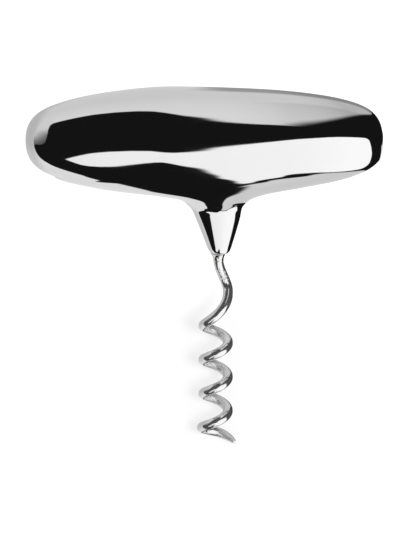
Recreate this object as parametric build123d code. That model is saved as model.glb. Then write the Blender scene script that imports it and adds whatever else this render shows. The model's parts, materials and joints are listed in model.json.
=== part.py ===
from build123d import *

import math
import os

# T-handle corkscrew lying on a table, in millimetres.  It is drawn upright first: the bar of the handle lies
# along X with its axis through the origin, and the worm points down -Y.  The whole tool is then laid down as
# it comes to rest: the bar rolled onto its straight flank, the last turn of the worm tipped onto the table.

# Bar of the handle, round about its own axis and fattest left of the middle
HANDLE_LENGTH = 100.0
CREST_RADIUS = 15.0
CREST_X = -10.0
MIDDLE_DROP = 0.5
MIDDLE_X = 5.0
SHOULDER_DROP = 1.05
SHOULDER_X = 20.0
LEFT_NOSE_RADIUS = 10.2
RIGHT_NOSE_RADIUS = 10.6
RIGHT_NOSE_SLOPE = 15.0

# Stem of the handle, a cone that flares into the bar and leans a little to the left on its way up; carried on
# to the bar axis it would be nearly as wide as the bar, and it ends inside the bar a little before that
WORM_X = 3.95
STEM_REACH = 32.7
STEM_LEAN = 2.5
STEM_ROOT_SHARE = 0.92
STEM_TOP_SHARE = 0.4
MOUTH_RADIUS = 2.75
MOUTH_ROUND = 1.0
JUNCTION_RADIUS = 12.5

# Pressed sheet of the two half shells, and the length of stem that closes round the wire at the mouth
WALL = 1.2
MOUTH_LENGTH = 3.0

# Conical anchor inside the stem, and the pin through it and the wire
FIT_CLEARANCE = 0.05
ANCHOR_LENGTH = 9.5
PIN_DIAMETER = 1.4
PIN_SETBACK = 0.4
PIN_HEIGHT_SHARE = 0.72
SHANK_PROUD = 1.0

# Braze that closes the mouth round the wire: out over the rim, down along the wire, and its thin lower edge
BRAZE_WIDTH = 0.55
BRAZE_REACH = 1.3
BRAZE_EDGE = 0.1

# Worm: straight shank, lead-in, coil and ground point of one wire; the coil hangs a little left of the shank
WIRE_DIAMETER = 2.85
COIL_DIAMETER = 9.8
COIL_OFFSET = -0.75
PITCH = 9.9
COIL_TURNS = 3.93
LEAD_IN = 10.8
LEAD_STRAIGHT = 0.2
FIRST_HALF_TURN = 9.85
FLARE = 2.35
FLARE_TURNS = 0.77
POINT_TURNS = 0.32
POINT_DIAMETER = 1.0

# A quarter turn is one step of the coil; cuts run past the faces they open by the overrun
QUARTER = math.pi / 2
OVERRUN = 2.0
TABLE_STEPS = 50
GAP_STEPS = 720

WIRE_RADIUS = WIRE_DIAMETER / 2
COIL_END = COIL_TURNS * 2 * math.pi
POINT_START = COIL_END - POINT_TURNS * 2 * math.pi
FLARE_START = COIL_END - FLARE_TURNS * 2 * math.pi
ANCHOR_TOP = MOUTH_LENGTH + ANCHOR_LENGTH
PIN_LEVEL = MOUTH_LENGTH + PIN_HEIGHT_SHARE * ANCHOR_LENGTH
FLANK_FALL = math.atan2(SHOULDER_DROP, SHOULDER_X - CREST_X)


def bar_form(inset):
    """The round bar, with its surface moved in by the inset."""
    left = LEFT_NOSE_RADIUS - inset
    right = RIGHT_NOSE_RADIUS - inset
    left_centre = LEFT_NOSE_RADIUS - HANDLE_LENGTH / 2
    right_centre = HANDLE_LENGTH / 2 - RIGHT_NOSE_RADIUS
    crest = (CREST_X, CREST_RADIUS - inset)
    middle = (MIDDLE_X, crest[1] - MIDDLE_DROP)
    shoulder = (SHOULDER_X, crest[1] - SHOULDER_DROP)
    # the left flank is the arc that is level at the crest and touches the nose
    run = CREST_X - left_centre
    flank_radius = (run**2 + crest[1] ** 2 - left**2) / (2 * (crest[1] - left))
    turn = math.asin(run / (flank_radius - left))
    slope = math.radians(RIGHT_NOSE_SLOPE)
    left_tip = (left_centre - left, 0)
    left_join = (left_centre - left * math.sin(turn), left * math.cos(turn))
    right_tip = (right_centre + right, 0)
    right_join = (right_centre + right * math.sin(slope), right * math.cos(slope))
    left_nose = TangentArc(left_tip, left_join, tangent=(0, 1))
    rise = TangentArc(left_join, crest, tangent=left_nose % 1)
    ends = [(1, 0), (math.cos(slope), -math.sin(slope))]
    fall = Spline(crest, middle, shoulder, right_join, tangents=ends)
    right_nose = TangentArc(right_tip, right_join, tangent=(0, 1))
    half_outline = make_face([left_nose, rise, fall, right_nose, Line(left_tip, right_tip)])
    return revolve(half_outline, Axis.X)


def stem_radius(level, inset):
    """Radius of the stem at a level above its mouth, with the surface moved in by the inset."""
    spread = math.atan2(STEM_ROOT_SHARE * CREST_RADIUS - MOUTH_RADIUS, STEM_REACH)
    return MOUTH_RADIUS + level * math.tan(spread) - inset / math.cos(spread)


def stem_ring(level, inset):
    """Circle of the stem at a level above its mouth."""
    centre = WORM_X - level * math.tan(math.radians(STEM_LEAN))
    plane = Plane(origin=(centre, level - STEM_REACH, 0), x_dir=(1, 0, 0), z_dir=(0, 1, 0))
    return plane * Circle(stem_radius(level, inset))


def stem_form(low, high, inset):
    """Length of the leaning cone between two levels above the mouth."""
    return loft([stem_ring(low, inset), stem_ring(high, inset)])


def tee_form(low, inset):
    """Bar and stem as one form with a rolled junction, with its surface moved in by the inset."""
    bar = bar_form(inset)
    stem = stem_form(low, STEM_REACH - STEM_TOP_SHARE * CREST_RADIUS, inset)
    tee = bar + stem
    return fillet(new_edges(bar, stem, combined=tee), JUNCTION_RADIUS + inset)


def wire_bore(low, high):
    """Clearance hole for the wire between two levels above the mouth."""
    length = high - low
    plane = Plane(origin=(WORM_X, low - STEM_REACH, 0), x_dir=(1, 0, 0), z_dir=(0, 1, 0))
    return extrude(plane * Circle(WIRE_RADIUS + FIT_CLEARANCE), length)


def cross_pin(radius, length):
    """Round bar through the wire, square to the plane of the handle."""
    return Pos(WORM_X, PIN_LEVEL - STEM_REACH, 0) * Cylinder(radius, length)


def handle_shells():
    """The two pressed halves, which meet on the plane through the bar and the worm."""
    outside = tee_form(0, 0)
    outside = fillet(outside.edges().sort_by(Axis.Y)[0], MOUTH_ROUND)
    skin = outside - tee_form(MOUTH_LENGTH, WALL) - wire_bore(-OVERRUN, MOUTH_LENGTH + OVERRUN)
    front = split(skin, Plane.XY, keep=Keep.TOP)
    rear = split(skin, Plane.XY, keep=Keep.BOTTOM)
    return front, rear


def anchor_cone():
    """Turned cone that the pull of the worm draws into the taper of the stem."""
    cone = stem_form(MOUTH_LENGTH + FIT_CLEARANCE, ANCHOR_TOP, WALL + FIT_CLEARANCE)
    cone -= wire_bore(-OVERRUN, ANCHOR_TOP + OVERRUN)
    return cone - cross_pin(PIN_DIAMETER / 2 + FIT_CLEARANCE, 2 * CREST_RADIUS)


def shank_pin():
    """Pin that locks the wire in the cone; the shell keeps it from working out."""
    half_length = stem_radius(PIN_LEVEL - PIN_DIAMETER / 2, WALL) - PIN_SETBACK
    return cross_pin(PIN_DIAMETER / 2, 2 * half_length)


def mouth_braze():
    """Hollow-faced ring of braze under the mouth."""
    inner = WORM_X + WIRE_RADIUS + FIT_CLEARANCE
    top_inner = (inner, -STEM_REACH)
    top_outer = (inner + BRAZE_WIDTH, -STEM_REACH)
    low_outer = (inner + BRAZE_EDGE, -STEM_REACH - BRAZE_REACH)
    low_inner = (inner, -STEM_REACH - BRAZE_REACH)
    face = TangentArc(low_outer, top_outer, tangent=(0, 1))
    seat = Polyline(top_outer, top_inner, low_inner, low_outer)
    return revolve(make_face([face, seat]), Axis((WORM_X, 0, 0), (0, 1, 0)))


def flare(angle):
    """How far the last turns open out from the coil, and how fast."""
    share = max(0.0, (angle - FLARE_START) / (COIL_END - FLARE_START))
    return FLARE * share**2, 2 * FLARE * share / (COIL_END - FLARE_START)


def drop(angle):
    """How far down the coil has run, and how fast: the first half turn eases into the pitch."""
    steady = PITCH / (2 * math.pi)
    first = 2 * FIRST_HALF_TURN / math.pi - steady
    if angle < math.pi:
        bend = (first - steady) / math.pi
        return first * angle - bend * angle**2 / 2, first - bend * angle
    return FIRST_HALF_TURN + steady * (angle - math.pi), steady


def coil_station(angle):
    """Point and direction of the wire's centre line, turned from the right-hand side toward the front."""
    opening, opening_rate = flare(angle)
    depth, depth_rate = drop(angle)
    radius = (COIL_DIAMETER - WIRE_DIAMETER) / 2 + opening
    cosine = math.cos(angle)
    sine = math.sin(angle)
    point = Vector(WORM_X + COIL_OFFSET + radius * cosine, -STEM_REACH - LEAD_IN - depth, radius * sine)
    along_x = opening_rate * cosine - radius * sine
    along_z = opening_rate * sine + radius * cosine
    return point, Vector(along_x, -depth_rate, along_z).normalized()


def wire_radius(angle):
    """Radius of the wire, which is ground away to the point over the last stretch."""
    share = max(0.0, (angle - POINT_START) / (COIL_END - POINT_START))
    return WIRE_RADIUS - (WIRE_RADIUS - POINT_DIAMETER / 2) * share**3


def biarc(start, finish):
    """Two arcs that join two stations of the wire and touch its direction at both."""
    start_point, start_way = start
    end_point, end_way = finish
    chord = end_point - start_point
    along = chord.dot(start_way + end_way)
    turn = 2 * (1 - start_way.dot(end_way))
    reach = (math.sqrt(along**2 + turn * chord.dot(chord)) - along) / turn
    middle = (start_point + start_way * reach + end_point - end_way * reach) / 2
    first = TangentArc(start_point, middle, tangent=start_way)
    return [first, TangentArc(middle, end_point, tangent=first % 1)]


def coil_arcs(angles):
    """Arcs of the coil through a row of angles."""
    stations = [coil_station(angle) for angle in angles]
    return [arc for start, finish in zip(stations, stations[1:]) for arc in biarc(start, finish)]


def wire_ring(station, radius):
    """Section of the wire at a station."""
    point, way = station
    return Plane(origin=point, z_dir=way) * Circle(radius)


def worm():
    """One wire: shank with its pin hole, lead-in, coil and point."""
    axis_way = Vector(0, -1, 0)
    shank_top = (Vector(WORM_X, ANCHOR_TOP + SHANK_PROUD - STEM_REACH, 0), axis_way)
    shank_end = (Vector(WORM_X, -STEM_REACH - BRAZE_REACH - LEAD_STRAIGHT, 0), axis_way)
    steps = round(POINT_START / QUARTER)
    angles = [POINT_START * step / steps for step in range(steps + 1)]
    arcs = [Line(shank_top[0], shank_end[0])] + biarc(shank_end, coil_station(0)) + coil_arcs(angles)
    body = sweep(wire_ring(shank_top, WIRE_RADIUS), path=Wire(arcs))
    ends = [POINT_START, (POINT_START + COIL_END) / 2, COIL_END]
    rings = [wire_ring(coil_station(angle), wire_radius(angle)) for angle in ends]
    point = sweep(rings, path=Wire(coil_arcs(ends)), multisection=True)
    return body + point - cross_pin(PIN_DIAMETER / 2 + FIT_CLEARANCE, 2 * CREST_RADIUS)


def least_gap():
    """Least gap between stretches of the coil that lie at least a third of a turn apart."""
    angles = [COIL_END * step / GAP_STEPS for step in range(GAP_STEPS + 1)]
    points = [coil_station(angle)[0] for angle in angles]
    apart = int(GAP_STEPS / COIL_TURNS / 3)
    gaps = [
        (points[later] - points[early]).length - wire_radius(angles[later]) - wire_radius(angles[early])
        for early in range(GAP_STEPS + 1)
        for later in range(early + apart, GAP_STEPS + 1)
    ]
    return min(gaps)


def lowest_of_worm(tip):
    """Lowest level of the worm when the tool is tipped about the bar axis and then rolled onto the flank."""
    levels = []
    for step in range(GAP_STEPS + 1):
        angle = COIL_END * step / GAP_STEPS
        point = coil_station(angle)[0]
        raised = point.Y * math.sin(tip) + point.Z * math.cos(tip)
        levels.append(raised * math.cos(FLANK_FALL) - point.X * math.sin(FLANK_FALL) - wire_radius(angle))
    return min(levels)


def table_tip(table):
    """Angle at which the worm comes down to the level of the table that the bar lies on."""
    low = 0.0
    high = QUARTER / 2
    for step in range(TABLE_STEPS):
        middle = (low + high) / 2
        if lowest_of_worm(middle) > table:
            low = middle
        else:
            high = middle
    return math.degrees(low)


front_shell, rear_shell = handle_shells()
pieces = {
    "front_shell": front_shell,
    "rear_shell": rear_shell,
    "anchor_cone": anchor_cone(),
    "shank_pin": shank_pin(),
    "mouth_braze": mouth_braze(),
    "worm": worm(),
}
roll = Rot(0, math.degrees(FLANK_FALL), 0)
tip = table_tip((roll * bar_form(0)).bounding_box().min.Z)
laid = {name: roll * Rot(tip, 0, 0) * piece for name, piece in pieces.items()}
box = Compound(list(laid.values())).bounding_box()
place = Pos(-box.center().X, -box.center().Y, -box.min.Z)

os.makedirs("parts", exist_ok=True)
for name, piece in laid.items():
    export_step(place * piece, f"parts/{name}.step")
    print(name, "volume", round(piece.volume, 1))
print("worm least gap to itself", round(least_gap(), 2))
print("tipped by", round(tip, 3), "rolled by", round(math.degrees(FLANK_FALL), 3), "degrees")
print("bar axis at", [round(value, 3) for value in place.position])
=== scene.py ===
import json
import math
import bpy
import numpy as np
from mathutils import Matrix, Vector


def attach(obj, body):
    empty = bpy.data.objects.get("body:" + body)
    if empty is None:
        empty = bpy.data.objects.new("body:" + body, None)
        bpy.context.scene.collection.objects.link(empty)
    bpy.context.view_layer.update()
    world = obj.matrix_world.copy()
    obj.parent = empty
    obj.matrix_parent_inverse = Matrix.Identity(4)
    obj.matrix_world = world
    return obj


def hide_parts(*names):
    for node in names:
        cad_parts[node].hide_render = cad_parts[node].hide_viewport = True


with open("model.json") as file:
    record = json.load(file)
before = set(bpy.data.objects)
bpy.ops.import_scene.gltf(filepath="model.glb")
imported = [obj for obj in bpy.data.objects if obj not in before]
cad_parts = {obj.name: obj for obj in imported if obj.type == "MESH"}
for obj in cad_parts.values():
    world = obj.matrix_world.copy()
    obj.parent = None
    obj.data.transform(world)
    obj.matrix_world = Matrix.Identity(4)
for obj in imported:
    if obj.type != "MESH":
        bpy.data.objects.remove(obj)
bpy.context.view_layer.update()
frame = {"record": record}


# Handle: the T-shaped grip, pressed in two halves from stainless sheet, welded along the plane of the T
# and polished over until no seam shows. The bar is round and fattest left of the middle. Front and back run
# down in a skirt to the stem, which is oval where the skirt ends, round at the mouth, and leans a little.
MM = 0.001
bar_half_length = 50.0 * MM
bar_radius = 15.0 * MM
stem_reach = 32.7 * MM
stem_x = 4.3 * MM
stem_lean = math.tan(math.radians(2.75))
stem_blend = 3.0 * MM
stem_easing = 0.4 * MM
mouth_round = 2.4 * MM
worm_x = 3.95 * MM

# outlines in millimetres: the bar's radius along it, then half the stem's width and depth by height
bar_outline = [(-50, 0), (-50, 6.4), (-42, 10.7), (-28, 13.5), (-14, 15.02), (-5.5, 14.97),
               (6.5, 14.57), (18, 14.01), (28, 13.1), (43, 10.8), (50, 6.4), (50, 0)]
stem_flank = [(-35, 1.9), (-32.7, 2.7), (-22.1, 6.3)]
stem_left = stem_flank + [(-19.8, 7.2), (-18.6, 8.3), (-16.9, 10.4), (-15.3, 17.5), (-13, 33),
                          (-10, 44), (0, 46)]
stem_right = stem_flank + [(-19.5, 6.95), (-18.1, 8.1), (-16.9, 9.6), (-15.3, 13.8), (-13, 24.5),
                           (-10, 36.5), (-5, 46), (0, 46)]
stem_depth = [(-35, 2.2), (-32.7, 2.8), (-24.5, 4.2), (-21, 4.6), (-19.8, 4.71), (-19.2, 5.08),
              (-17.5, 6.43), (-15, 8.27), (-12, 10.33), (-10, 11.53), (-8.5, 12.3), (-5, 13.35),
              (-3, 12.9), (0, 10.2)]

# the blank is an egg and a cone joined into one even mesh, which is then drawn onto the true form
blank_sides = 64
blank_rings = 48
blank_mouth_radius = 3.0 * MM
blank_stem_radius = 9.0 * MM
blank_grain = 0.7 * MM
rough_rounds = 3
rough_draws = 4
last_draws = 6
smoothing_share = 0.5
smoothing_passes = 6

# the tool is modelled upright, with the bar's axis on X through the origin, and is then laid down where
# the frame has it
grip = next(mount for mount in frame["record"]["mounts"] if mount["name"] == "grip")
grip_axis = Vector(grip["axis"])
tip_angle = math.acos(grip_axis.y)
roll_angle = math.atan2(grip_axis.x, grip_axis.z)
laid_down = (Matrix.Translation(grip["pos_m"]) @ Matrix.Rotation(roll_angle, 4, "Y")
             @ Matrix.Rotation(tip_angle, 4, "X") @ Matrix.Translation((-worm_x, 0, 0)))


def lay_down(piece):
    """Moves a finished upright piece to its place in the frame, with the place in its mesh."""
    bpy.ops.object.select_all(action="DESELECT")
    piece.select_set(True)
    bpy.context.view_layer.objects.active = piece
    piece.matrix_world = laid_down
    bpy.ops.object.transform_apply(location=True, rotation=True, scale=True)
    bpy.ops.object.shade_smooth()


def apply_modifier(piece, kind, **settings):
    """Adds one modifier and applies it."""
    modifier = piece.modifiers.new(kind.lower(), kind)
    for name, value in settings.items():
        setattr(modifier, name, value)
    bpy.context.view_layer.objects.active = piece
    bpy.ops.object.modifier_apply(modifier=modifier.name)


# the bar's outline as a smooth curve, read as a fine table of squared radii and their slopes
bar_curve = bpy.data.curves.new("bar_outline", "CURVE")
bar_line = bar_curve.splines.new("NURBS")
bar_line.points.add(len(bar_outline) - 1)
for point, (along, radius) in zip(bar_line.points, bar_outline):
    point.co = (along * MM, radius * MM, 0, 1)
bar_line.order_u = 4
bar_line.use_endpoint_u = True
bar_line.resolution_u = 200
bar_drawing = bpy.data.objects.new("bar_outline", bar_curve)
bpy.context.scene.collection.objects.link(bar_drawing)
bpy.context.view_layer.update()
bar_points = bpy.data.meshes.new_from_object(bar_drawing).vertices
bar_x = np.array([vertex.co.x for vertex in bar_points])
bar_square = np.array([vertex.co.y ** 2 for vertex in bar_points])
bar_fall = np.gradient(bar_square, bar_x)
bpy.data.objects.remove(bar_drawing)

table_step = 0.01 * MM


def drawn_line(points):
    """A smooth line through points in millimetres, as a fine table of places, sizes and slopes."""
    place, size = np.array(points).T * MM
    rise = np.diff(size) / np.diff(place)
    slope = np.concatenate([rise[:1], np.zeros(len(size) - 2), rise[-1:]])
    climbs = np.flatnonzero(rise[1:] * rise[:-1] > 0)
    slope[climbs + 1] = 2 / (1 / rise[climbs + 1] + 1 / rise[climbs])
    where = np.arange(place[0], place[-1], table_step)
    span = np.clip(np.searchsorted(place, where, side="right") - 1, 0, len(place) - 2)
    gap = place[span + 1] - place[span]
    t = (where - place[span]) / gap
    drawn = (1 + 2 * t) * (1 - t) ** 2 * size[span] + t * (1 - t) ** 2 * gap * slope[span]
    drawn += t * t * (3 - 2 * t) * size[span + 1] + t * t * (t - 1) * gap * slope[span + 1]
    half = round(stem_easing / table_step)
    window = np.hanning(2 * half + 1)
    padded = np.pad(drawn, half, mode="reflect", reflect_type="odd")
    drawn = np.convolve(padded, window / window.sum(), "valid")
    return where, drawn, np.gradient(drawn, where)


height_table, left_table, left_fall = drawn_line(stem_left)
height_table, right_table, right_fall = drawn_line(stem_right)
height_table, depth_table, depth_fall = drawn_line(stem_depth)

# these keep the distances finite on the axes of the bar and the stem
least_square = 1e-12
least_ring = 1e-6


def soft_min(first, second, width):
    """The smaller of two distances, rounded over a width where they are nearly equal."""
    near = np.clip(width - np.abs(first - second), 0, None) / width
    return np.minimum(first, second) - near ** 3 * width / 6


def handle_gap(points):
    """How far points lie outside the polished handle: the bar, the stem below it and the rounded mouth."""
    x, y, z = points.T
    square = y * y + z * z
    past_tip = np.clip(np.abs(x) - bar_half_length, 0, None)
    steepness = np.sqrt(np.interp(x, bar_x, bar_fall) ** 2 + 4 * np.maximum(square, least_square))
    bar = (square - np.interp(x, bar_x, bar_square) + 2 * bar_radius * past_tip) / steepness
    above_mouth = y + stem_reach
    aside = x - stem_x + above_mouth * stem_lean
    left = aside < 0
    width = np.interp(y, height_table, right_table)
    width[left] = np.interp(y[left], height_table, left_table)
    width_fall = np.interp(y, height_table, right_fall)
    width_fall[left] = np.interp(y[left], height_table, left_fall)
    depth = np.interp(y, height_table, depth_table)
    fall = np.interp(y, height_table, depth_fall)
    ring = np.maximum(np.sqrt((aside / width) ** 2 + (z / depth) ** 2), least_ring)
    down = aside ** 2 * width_fall / width ** 3 + z ** 2 * fall / depth ** 3
    ring_fall = np.sqrt((aside / width ** 2) ** 2 + (z / depth ** 2) ** 2 + down ** 2 + least_square)
    stem = ring * (ring - 1) / ring_fall
    tee = soft_min(bar, np.maximum(stem, y), stem_blend)
    return -soft_min(-tee, above_mouth, mouth_round)


slope_step = 1e-7
least_steepness = 0.2


def handle_slope(points):
    """The gap at points and its slope, which is the way that the handle's surface faces there."""
    here = handle_gap(points)
    slope = np.stack([handle_gap(points + offset) - here for offset in np.eye(3) * slope_step], axis=1)
    return here, slope / slope_step


def draw_onto_handle(piece, draws):
    """Moves every point of a blank onto the handle's surface, square to it."""
    mesh = piece.data
    flat = np.empty(len(mesh.vertices) * 3)
    mesh.vertices.foreach_get("co", flat)
    points = flat.reshape(-1, 3)
    for draw in range(draws):
        gap, slope = handle_slope(points)
        steep = np.maximum(np.sum(slope ** 2, axis=1), least_steepness)
        points = points - slope * (gap / steep)[:, None]
    mesh.vertices.foreach_set("co", points.ravel())
    mesh.update()
    return points


bpy.ops.object.select_all(action="DESELECT")
bpy.ops.mesh.primitive_uv_sphere_add(segments=blank_sides, ring_count=blank_rings, radius=bar_radius)
handle = bpy.context.object
handle.name = "polished_handle"
handle.scale = (bar_half_length / bar_radius, 1, 1)
bpy.ops.object.transform_apply(scale=True)
bpy.ops.mesh.primitive_cone_add(vertices=blank_sides, radius1=blank_mouth_radius, radius2=blank_stem_radius,
                                depth=stem_reach, location=(stem_x, -stem_reach / 2, 0),
                                rotation=(-math.pi / 2, 0, 0))
stem_blank = bpy.context.object
apply_modifier(handle, "BOOLEAN", operation="UNION", object=stem_blank, solver="EXACT")
bpy.data.objects.remove(stem_blank)
apply_modifier(handle, "REMESH", mode="VOXEL", voxel_size=blank_grain)
for rough_round in range(rough_rounds):
    draw_onto_handle(handle, rough_draws)
    apply_modifier(handle, "SMOOTH", factor=smoothing_share, iterations=smoothing_passes)
draw_onto_handle(handle, rough_draws)
apply_modifier(handle, "SUBSURF", levels=1, render_levels=1)
surface = draw_onto_handle(handle, last_draws)
lay_down(handle)

# a mirror shows the facets of any mesh, so the polish takes its normals from the true form
facing = handle_slope(surface)[1]
facing = facing / np.linalg.norm(facing, axis=1, keepdims=True)
handle.data.normals_split_custom_set_from_vertices(facing @ np.array(laid_down.to_3x3()).T)


def new_material(name):
    """A named material, its node tree and its shader."""
    material = bpy.data.materials.new(name)
    material.use_nodes = True
    return material, material.node_tree, material.node_tree.nodes["Principled BSDF"]


def grained_metal(name, tones, roughness, grain, detail):
    """A metal whose tone and roughness vary over a fine grain."""
    material, tree, shader = new_material(name)
    shader.inputs["Metallic"].default_value = 1.0
    place = tree.nodes.new("ShaderNodeTexCoord")
    speckle = tree.nodes.new("ShaderNodeTexNoise")
    speckle.name = "grain"
    speckle.inputs["Scale"].default_value = grain
    speckle.inputs["Detail"].default_value = detail
    tree.links.new(place.outputs["Object"], speckle.inputs["Vector"])
    tone = tree.nodes.new("ShaderNodeValToRGB")
    for element, colour in zip(tone.color_ramp.elements, tones):
        element.color = (*colour, 1)
    tree.links.new(speckle.outputs["Fac"], tone.inputs["Fac"])
    tree.links.new(tone.outputs["Color"], shader.inputs["Base Color"])
    gloss = tree.nodes.new("ShaderNodeMapRange")
    gloss.name = "gloss"
    gloss.inputs["To Min"].default_value, gloss.inputs["To Max"].default_value = roughness
    tree.links.new(speckle.outputs["Fac"], gloss.inputs["Value"])
    tree.links.new(gloss.outputs["Result"], shader.inputs["Roughness"])
    return material


mirror_steel = grained_metal(
    "mirror_polished_steel", tones=((0.78, 0.78, 0.78), (0.83, 0.83, 0.83)),
    roughness=(0.02, 0.06), grain=60.0, detail=4.0)
handle.data.materials.append(mirror_steel)
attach(handle, "root")
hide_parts("front_shell", "rear_shell")


# Anchor cone and pin: a cone turned from steel bar, drilled for the worm's shank and drawn up into the
# stem's taper, and a pin pressed through cone and shank. Both sit inside the stem and don't show.
anchor_profile = [(-31.2, 1.7), (-30.9, 1.95), (-23.1, 2.95), (-22.7, 2.6)]
turned_sides = 64
pin_radius = 0.7 * MM
pin_length = 5.2 * MM
pin_place = -24.4 * MM
pin_sides = 32
pin_bevel = 0.15 * MM
bevelled_edge = math.radians(60)
sharp_edge = math.radians(50)


def turned_piece(name, profile):
    """A piece turned round the shank: places along it and radii, in millimetres, from the bottom up."""
    low_place, low_radius = profile[0]
    bpy.ops.object.select_all(action="DESELECT")
    bpy.ops.mesh.primitive_circle_add(vertices=turned_sides, radius=low_radius * MM, fill_type="NGON",
                                      location=(worm_x, low_place * MM, 0), rotation=(math.pi / 2, 0, 0))
    piece = bpy.context.object
    piece.name = name
    bpy.ops.object.transform_apply(location=True, rotation=True)
    bpy.ops.object.mode_set(mode="EDIT")
    bpy.ops.mesh.select_all(action="SELECT")
    for (place, radius), (next_place, next_radius) in zip(profile, profile[1:]):
        rise = (next_place - place) * MM
        bpy.ops.mesh.extrude_region_move(TRANSFORM_OT_translate={"value": (0, rise, 0)})
        bpy.ops.transform.resize(value=(next_radius / radius, 1, next_radius / radius),
                                 center_override=(worm_x, next_place * MM, 0))
    bpy.ops.mesh.select_all(action="SELECT")
    bpy.ops.mesh.normals_make_consistent(inside=False)
    bpy.ops.object.mode_set(mode="OBJECT")
    lay_down(piece)
    bpy.ops.object.shade_smooth_by_angle(angle=sharp_edge)
    return piece


anchor = turned_piece("anchor_cone_steel", anchor_profile)
bpy.ops.object.select_all(action="DESELECT")
bpy.ops.mesh.primitive_cylinder_add(vertices=pin_sides, radius=pin_radius, depth=pin_length,
                                    location=(worm_x, pin_place, 0))
pin = bpy.context.object
pin.name = "shank_pin_steel"
bpy.ops.object.transform_apply(location=True)
apply_modifier(pin, "BEVEL", width=pin_bevel, segments=3, limit_method="ANGLE", angle_limit=bevelled_edge)
lay_down(pin)
bpy.ops.object.shade_smooth_by_angle(angle=sharp_edge)
turned_steel = grained_metal(
    "turned_steel", tones=((0.42, 0.42, 0.43), (0.58, 0.58, 0.58)),
    roughness=(0.2, 0.4), grain=700, detail=3.0)
for piece, node in ((anchor, "anchor_cone"), (pin, "shank_pin")):
    piece.data.materials.append(turned_steel)
    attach(piece, "root")
    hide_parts(node)


# Braze: the bead of silver braze that seals the stem's mouth round the wire. It ran thin while it was hot,
# so it is hollow in profile and bright, and ends in a feather edge on the wire.
braze_profile = [(-34.75, 1.38), (-34.7, 1.44), (-34.3, 1.47), (-33.9, 1.53), (-33.5, 1.63), (-33.1, 1.79),
                 (-32.75, 2.02), (-32.5, 2.25), (-32.3, 2.2)]
braze = turned_piece("mouth_braze_bead", braze_profile)
silver_braze = grained_metal(
    "silver_braze", tones=((0.70, 0.69, 0.67), (0.82, 0.81, 0.79)),
    roughness=(0.06, 0.16), grain=400, detail=3.0)
braze.data.materials.append(silver_braze)
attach(braze, "root")
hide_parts("mouth_braze")


# Worm: one spring-steel wire, straight where it goes up into the stem, then wound right-handed into an open
# coil whose last turn opens out and is ground to a point. It is bright plated, with the marks of winding.
wire_size = 2.85 * MM
wire_radius = wire_size / 2
coil_size = 9.8 * MM
coil_radius = (coil_size - wire_size) / 2
coil_aside = 0.75 * MM
coil_x = worm_x - coil_aside
coil_pitch = 9.9 * MM
coil_turns = 3.945
shank_in_stem = 9.0 * MM
lead_in = 10.8 * MM
lead_start = 1.5 * MM
first_half_turn = 9.85 * MM
flare = 2.35 * MM
flare_turns = 0.77
point_turns = 0.26
point_radius = 0.55 * MM
ground_share = 0.75
shank_steps = 12
lead_steps = 24
steps_per_turn = 90
small_turn = 0.01
wire_roundness = 10
coil_end = coil_turns * 2 * math.pi


def coil_drop(angle):
    """How far down the coil has run: the first half turn eases into the pitch."""
    steady = coil_pitch / (2 * math.pi)
    first = 2 * first_half_turn / math.pi - steady
    if angle < math.pi:
        return first * angle - (first - steady) / math.pi * angle ** 2 / 2
    return first_half_turn + steady * (angle - math.pi)


def coil_point(angle):
    """Centre of the wire at an angle of the coil, turned from the right-hand side toward the front."""
    opened = max(0.0, 1 - (coil_end - angle) / (flare_turns * 2 * math.pi))
    radius = coil_radius + flare * opened ** 2
    height = -stem_reach - lead_in - coil_drop(angle)
    return Vector((coil_x + radius * math.cos(angle), height, radius * math.sin(angle)))


def wire_point_radius(angle):
    """Radius of the wire, ground away over the last stretch."""
    share = max(0.0, 1 - (coil_end - angle) / (point_turns * 2 * math.pi))
    return wire_radius - (wire_radius - point_radius) * share ** 3


# the wire's centre line: the shank, the lead-in that bows over to the coil, and the coil with its point
route = []
shank_top = Vector((worm_x, -stem_reach + shank_in_stem, 0))
shank_end = Vector((worm_x, -stem_reach - lead_start, 0))
shank_way = Vector((0, -1, 0))
coil_start = coil_point(0)
coil_way = (coil_point(small_turn) - coil_start).normalized()
chord = (coil_start - shank_end).length
for step in range(shank_steps):
    route.append((shank_top.lerp(shank_end, step / shank_steps), wire_radius))
for step in range(lead_steps):
    t = step / lead_steps
    bow = (2 * t ** 3 - 3 * t ** 2 + 1) * shank_end + (3 * t ** 2 - 2 * t ** 3) * coil_start
    bow += (t ** 3 - 2 * t ** 2 + t) * chord * shank_way + (t ** 3 - t ** 2) * chord * coil_way
    route.append((bow, wire_radius))
coil_steps = round(coil_turns * steps_per_turn)
for step in range(coil_steps + 1):
    angle = coil_end * step / coil_steps
    radius = wire_point_radius(angle)
    ground_off = Vector((0, radius - wire_radius, 0)) * ground_share
    route.append((coil_point(angle) + ground_off, radius))

wire = bpy.data.curves.new("worm_wire", "CURVE")
wire.dimensions = "3D"
wire.bevel_depth = wire_radius
wire.bevel_resolution = wire_roundness
wire.use_fill_caps = True
wire_line = wire.splines.new("POLY")
wire_line.points.add(len(route) - 1)
for point, (centre, radius) in zip(wire_line.points, route):
    point.co = (*centre, 1)
    point.radius = radius / wire_radius
worm = bpy.data.objects.new("worm_wire", wire)
bpy.context.scene.collection.objects.link(worm)
bpy.ops.object.select_all(action="DESELECT")
worm.select_set(True)
bpy.context.view_layer.objects.active = worm
bpy.ops.object.convert(target="MESH")
worm = bpy.context.object

# the buffing wheel reached the outside of the coil: the inside and the ground point stayed dull, and the
# bend below the stem has tool marks
dull_start = 3.0 * MM
dull_wrap = 0.35
bright_end_turns = 0.4
ground_lengths = 1.2
marks_place = -39.0 * MM
marks_reach = 3.0 * MM


def ease(share):
    """Smooth step of a share from 0 to 1."""
    share = np.clip(share, 0, 1)
    return share * share * (3 - 2 * share)


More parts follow.
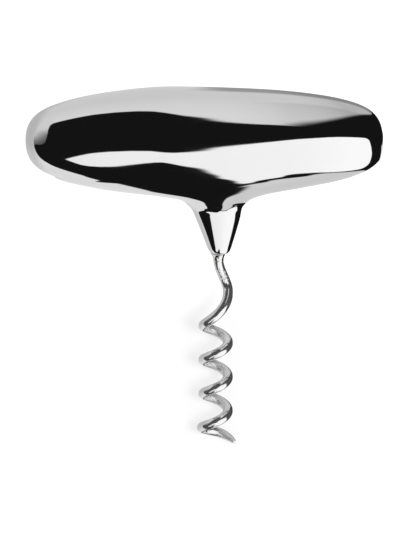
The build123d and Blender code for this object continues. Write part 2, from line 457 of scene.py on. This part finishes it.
def name_values(piece, name, values):
    """Gives a piece a named value at each of its points, for its material to read."""
    attribute = piece.data.attributes.new(name, "FLOAT", "POINT")
    attribute.data.foreach_set("value", values.astype(np.float32))


centres = np.array([centre for centre, radius in route])
corners = np.array([vertex.co for vertex in worm.data.vertices])
nearest = np.array([np.argmin(np.sum((centres - corner) ** 2, axis=1)) for corner in corners])
outward = corners - centres[nearest]
to_axis = np.stack([coil_x - centres[nearest, 0], np.zeros(len(corners)), -centres[nearest, 2]], axis=1)
inner_share = np.sum(outward * to_axis, axis=1) / (wire_radius * coil_radius)
in_coil = ease((-corners[:, 1] - stem_reach - lead_in) / dull_start)
in_coil = in_coil * (nearest < len(route) - bright_end_turns * steps_per_turn)
on_point = ease((nearest - len(route)) / (point_turns * steps_per_turn) + ground_lengths)
name_values(worm, "dull", np.maximum(ease(inner_share + dull_wrap) * in_coil, on_point))
name_values(worm, "tool_marks", ease(1 - np.abs(corners[:, 1] - marks_place) / marks_reach))
lay_down(worm)

dull_roughness = 0.4
bright_metal = 0.95
dull_metal = 0.84
mark_height = 0.5 * MM
bright_wire = grained_metal(
    "bright_plated_wire", tones=((0.72, 0.72, 0.72), (0.86, 0.86, 0.86)),
    roughness=(0.09, 0.18), grain=900, detail=3.0)
tree = bright_wire.node_tree
shader = tree.nodes["Principled BSDF"]
dullness = tree.nodes.new("ShaderNodeAttribute")
dullness.attribute_name = "dull"
matt = tree.nodes.new("ShaderNodeMix")
tree.links.new(dullness.outputs["Fac"], matt.inputs["Factor"])
tree.links.new(tree.nodes["gloss"].outputs["Result"], matt.inputs["A"])
matt.inputs["B"].default_value = dull_roughness
tree.links.new(matt.outputs["Result"], shader.inputs["Roughness"])
plating = tree.nodes.new("ShaderNodeMapRange")
plating.inputs["To Min"].default_value = bright_metal
plating.inputs["To Max"].default_value = dull_metal
tree.links.new(dullness.outputs["Fac"], plating.inputs["Value"])
tree.links.new(plating.outputs["Result"], shader.inputs["Metallic"])
marks = tree.nodes.new("ShaderNodeAttribute")
marks.attribute_name = "tool_marks"
relief = tree.nodes.new("ShaderNodeBump")
relief.inputs["Distance"].default_value = mark_height
tree.links.new(marks.outputs["Fac"], relief.inputs["Strength"])
tree.links.new(tree.nodes["grain"].outputs["Fac"], relief.inputs["Height"])
tree.links.new(relief.outputs["Normal"], shader.inputs["Normal"])
worm.data.materials.append(bright_wire)
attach(worm, "root")
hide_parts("worm")


# Floor: a plain white table. To the eye it is white all over but for the tool's soft shadow, which shows
# most beside the worm, where the table glows less. What the metal mirrors of it belongs to the light tent.
table_size = 8.0
table_colour = (0.16, 0.16, 0.16, 1)
shaded_place = (0, -0.06, 0)
shaded_radius = 0.045
glowing_radius = 0.06
shaded_glow = 0.735
table_glow = 0.95
bpy.ops.object.select_all(action="DESELECT")
bpy.ops.mesh.primitive_plane_add(size=table_size)
floor = bpy.context.object
floor.name = "white_table"
white_table, tree, shader = new_material("white_table")
tree.nodes.remove(shader)
paper = tree.nodes.new("ShaderNodeBsdfDiffuse")
paper.inputs["Color"].default_value = table_colour
table_place = tree.nodes.new("ShaderNodeTexCoord")
from_worm = tree.nodes.new("ShaderNodeVectorMath")
from_worm.operation = "DISTANCE"
from_worm.inputs[1].default_value = shaded_place
tree.links.new(table_place.outputs["Object"], from_worm.inputs[0])
glow = tree.nodes.new("ShaderNodeMapRange")
glow.inputs["From Min"].default_value = shaded_radius
glow.inputs["From Max"].default_value = glowing_radius
glow.inputs["To Min"].default_value = shaded_glow
glow.inputs["To Max"].default_value = table_glow
tree.links.new(from_worm.outputs["Value"], glow.inputs["Value"])
white = tree.nodes.new("ShaderNodeEmission")
tree.links.new(glow.outputs["Result"], white.inputs["Strength"])
seen = tree.nodes.new("ShaderNodeAddShader")
tree.links.new(paper.outputs["BSDF"], seen.inputs[0])
tree.links.new(white.outputs["Emission"], seen.inputs[1])
tree.links.new(seen.outputs["Shader"], tree.nodes["Material Output"].inputs["Surface"])
floor.data.materials.append(white_table)
floor.visible_glossy = False


# Light tent: what the polished metal mirrors. A ball round the tool: a pale table and walls, a dark hood
# overhead with its stand toward the front, a dark flag behind on the right, one large softbox to the right
# and front, a dim panel on the left, and a painted shadow of the tool on the table behind it on the right.
# Angles are in degrees from straight up.
tent_radius = 0.9
tent_centre = Vector((0, 0.036, 0.0147))
tent_fineness = 8
least_level = 1e-9
bpy.ops.object.select_all(action="DESELECT")
bpy.ops.mesh.primitive_ico_sphere_add(subdivisions=tent_fineness, radius=tent_radius, location=tent_centre,
                                      calc_uvs=False)
tent = bpy.context.object
tent.name = "light_tent"
ways = np.array([vertex.co for vertex in tent.data.vertices]) / tent_radius
zenith = np.degrees(np.arccos(np.clip(ways[:, 2], -1, 1)))
level_share = np.maximum(np.hypot(ways[:, 0], ways[:, 1]), least_level)
across = zenith * ways[:, 0] / level_share
back = zenith * ways[:, 1] / level_share

# outlines: degrees to the right and toward the back
hood = [(-92, -10), (-55, -12), (-49, 12), (-49, 54), (-38, 61), (-14, 75), (7, 58), (9, 40), (18, 36),
        (60, 10), (120, 0), (150, -60), (115, -150), (60, -114), (39, -98), (28, -87), (17, -86),
        (-20, -98), (-34, -94), (-54, -72), (-78, -43)]
stand = [(-22, -90), (-18, -104), (-11, -130), (-11, -160), (12, -160), (16, -130), (16, -80)]
flag = [(14, 26), (19, 40), (27, 53), (47, 76), (66, 87), (120, 88), (150, 100), (190, 60), (190, -60),
        (60, 0)]
softbox = [(25, 9), (42, 8), (66, 3), (74, -22), (83, -64), (68, -98), (57, -104), (36, -93), (26, -80),
           (20, -76), (15, -84), (10, -84), (7, -72), (5, -64), (5, -54), (4, -44), (-6, -40), (-22, -68),
           (-33, -51), (-34, -49), (-13, -16), (6, -25), (10, -5)]
cut_rounds = 2
cut_share = 0.25
hood_edge = 1.5
flag_edge = 9.0
softbox_edge = 1.2

# light that changes with an angle: steps of the angle and a strength or a share there
wall_light = [(60, 0.82), (85, 0.78), (110, 0.71)]
far_left_share = [(60, 1.0), (90, 0.78)]
back_right_share = [(10, 1.0), (20, 0.85), (45, 0.62)]
back_table_share = [(98, 1.0), (108, 1.25)]
panel_light = [(-10, 0.16), (0, 0.26), (18, 0.6), (35, 0.72), (55, 0.75)]
panel_shade = [(50, 0.65), (85, 0.0)]
softbox_light = [(-30, 1.0), (10, 1.08), (40, 1.17)]

# even light and shade, and the angles where they start and over which they come in
black_cloth = 0.008
front_left_light = 0.14
front_left_rise = (10, 50)
# painted shadow: the tool's own shadow on the table, as the metal mirrors it, is painted into the tent
# below
painted_tool_shadow_depth = 0.5
painted_tool_shadow_rise = (132, 12)
painted_tool_shadow_right = (2, 10)
back_start = 20
panel_rise = (44, 4)
panel_shade_rise = (-45, 30)
horizon = 90


def inside(outline, edge):
    """How far the tent's points lie inside an outline with cut corners, from 0 to 1 over a soft edge."""
    outline = np.array(outline, float)
    for cut in range(cut_rounds):
        ahead = np.roll(outline, -1, axis=0)
        after = (1 - cut_share) * outline + cut_share * ahead
        before = cut_share * outline + (1 - cut_share) * ahead
        outline = np.hstack([after, before]).reshape(-1, 2)
    distance = np.full(across.shape, np.inf)
    within = np.zeros(across.shape, bool)
    for (ax, ay), (bx, by) in zip(outline, np.roll(outline, -1, axis=0)):
        run_x = bx - ax
        run_y = by - ay
        along = np.clip(((across - ax) * run_x + (back - ay) * run_y) / (run_x ** 2 + run_y ** 2), 0, 1)
        distance = np.minimum(distance, np.hypot(across - ax - along * run_x, back - ay - along * run_y))
        if run_y:
            passes = (ay > back) != (by > back)
            within ^= passes & (across < ax + run_x * (back - ay) / run_y)
    return ease(np.where(within, distance, -distance) / edge + 0.5)


def graded(angle, steps):
    """A strength that changes evenly from step to step of an angle."""
    return np.interp(angle, *np.array(steps, float).T)


def rising(angle, start, reach):
    """A share that rises smoothly from 0 at a start angle to 1 a reach further on."""
    return ease((angle - start) / reach)


def covered(light, cover_light, share):
    """Light behind a cover that hides a share of it and gives its own."""
    return light + (cover_light - light) * share


light = graded(zenith, wall_light) + front_left_light * rising(-back, *front_left_rise) * (across < 0)
light = light * graded(-across, far_left_share)
# painted shadow of the tool on the table, behind it on the right, far below the horizon: it darkens the
# tent
painted_tool_shadow = rising(zenith, *painted_tool_shadow_rise) * rising(across, *painted_tool_shadow_right) * (back > 0)
light = light * (1 - painted_tool_shadow_depth * painted_tool_shadow)
back_right = np.minimum(graded(across, back_right_share) * graded(zenith, back_table_share), 1)
light = light * np.where(back > back_start, back_right, 1)
panel = graded(back, panel_light) * (1 - graded(-across, panel_shade) * rising(-back, *panel_shade_rise))
light = covered(light, panel, rising(-across, *panel_rise) * (zenith < horizon))
light = covered(light, black_cloth, inside(flag, flag_edge))
light = covered(light, black_cloth, np.maximum(inside(hood, hood_edge), inside(stand, hood_edge)))
light = covered(light, graded(across, softbox_light), inside(softbox, softbox_edge))
name_values(tent, "light", light)

tent_cloth, tree, shader = new_material("light_tent")
tree.nodes.remove(shader)
strength = tree.nodes.new("ShaderNodeAttribute")
strength.attribute_name = "light"
lit_cloth = tree.nodes.new("ShaderNodeEmission")
tree.links.new(strength.outputs["Fac"], lit_cloth.inputs["Strength"])
tree.links.new(lit_cloth.outputs["Emission"], tree.nodes["Material Output"].inputs["Surface"])
tent.data.materials.append(tent_cloth)
bpy.ops.object.shade_smooth()
tent.visible_camera = False
tent.visible_diffuse = False
tent.visible_shadow = False


# Lamp and sky: one soft lamp overhead on the right, for the tool's shadow on the table, and an even white
# sky. The metal mirrors the light tent in their place.
lamp_power = 8.0
lamp_size = 0.3
lamp_place = Vector((0.35, 0.05, 0.9))
sky_strength = 1.0
lamp_light = bpy.data.lights.new("soft_lamp", "AREA")
lamp_light.energy = lamp_power
lamp_light.size = lamp_size
lamp = bpy.data.objects.new("soft_lamp", lamp_light)
lamp.location = lamp_place
lamp.rotation_euler = (-lamp_place).to_track_quat("-Z", "Y").to_euler()
lamp.visible_glossy = False
bpy.context.scene.collection.objects.link(lamp)
sky = bpy.data.worlds.new("white_sky")
sky.use_nodes = True
sky.node_tree.nodes["Background"].inputs["Color"].default_value = (1, 1, 1, 1)
sky.node_tree.nodes["Background"].inputs["Strength"].default_value = sky_strength
bpy.context.scene.world = sky


# Camera: nearly overhead, as far off as the photograph's even perspective shows, and turned a little to set
# the tool as it lies in the photograph's frame.
view_distance = 1.0
view_tilt = math.radians(6.55)
view_turn = math.radians(-0.2)
view_target = Vector((-0.00025, -0.0006, 0.015))
view_span = 0.1516
camera_data = bpy.data.cameras.new("camera")
camera_data.sensor_width = 36.0
camera_data.lens = camera_data.sensor_width * view_distance / view_span
camera = bpy.data.objects.new("camera", camera_data)
camera.rotation_euler = (-view_tilt, 0, view_turn)
camera.location = view_target + view_distance * Vector((0, math.sin(view_tilt), math.cos(view_tilt)))
bpy.context.scene.collection.objects.link(camera)
bpy.context.scene.camera = camera
bpy.context.scene.view_settings.view_transform = "Standard"
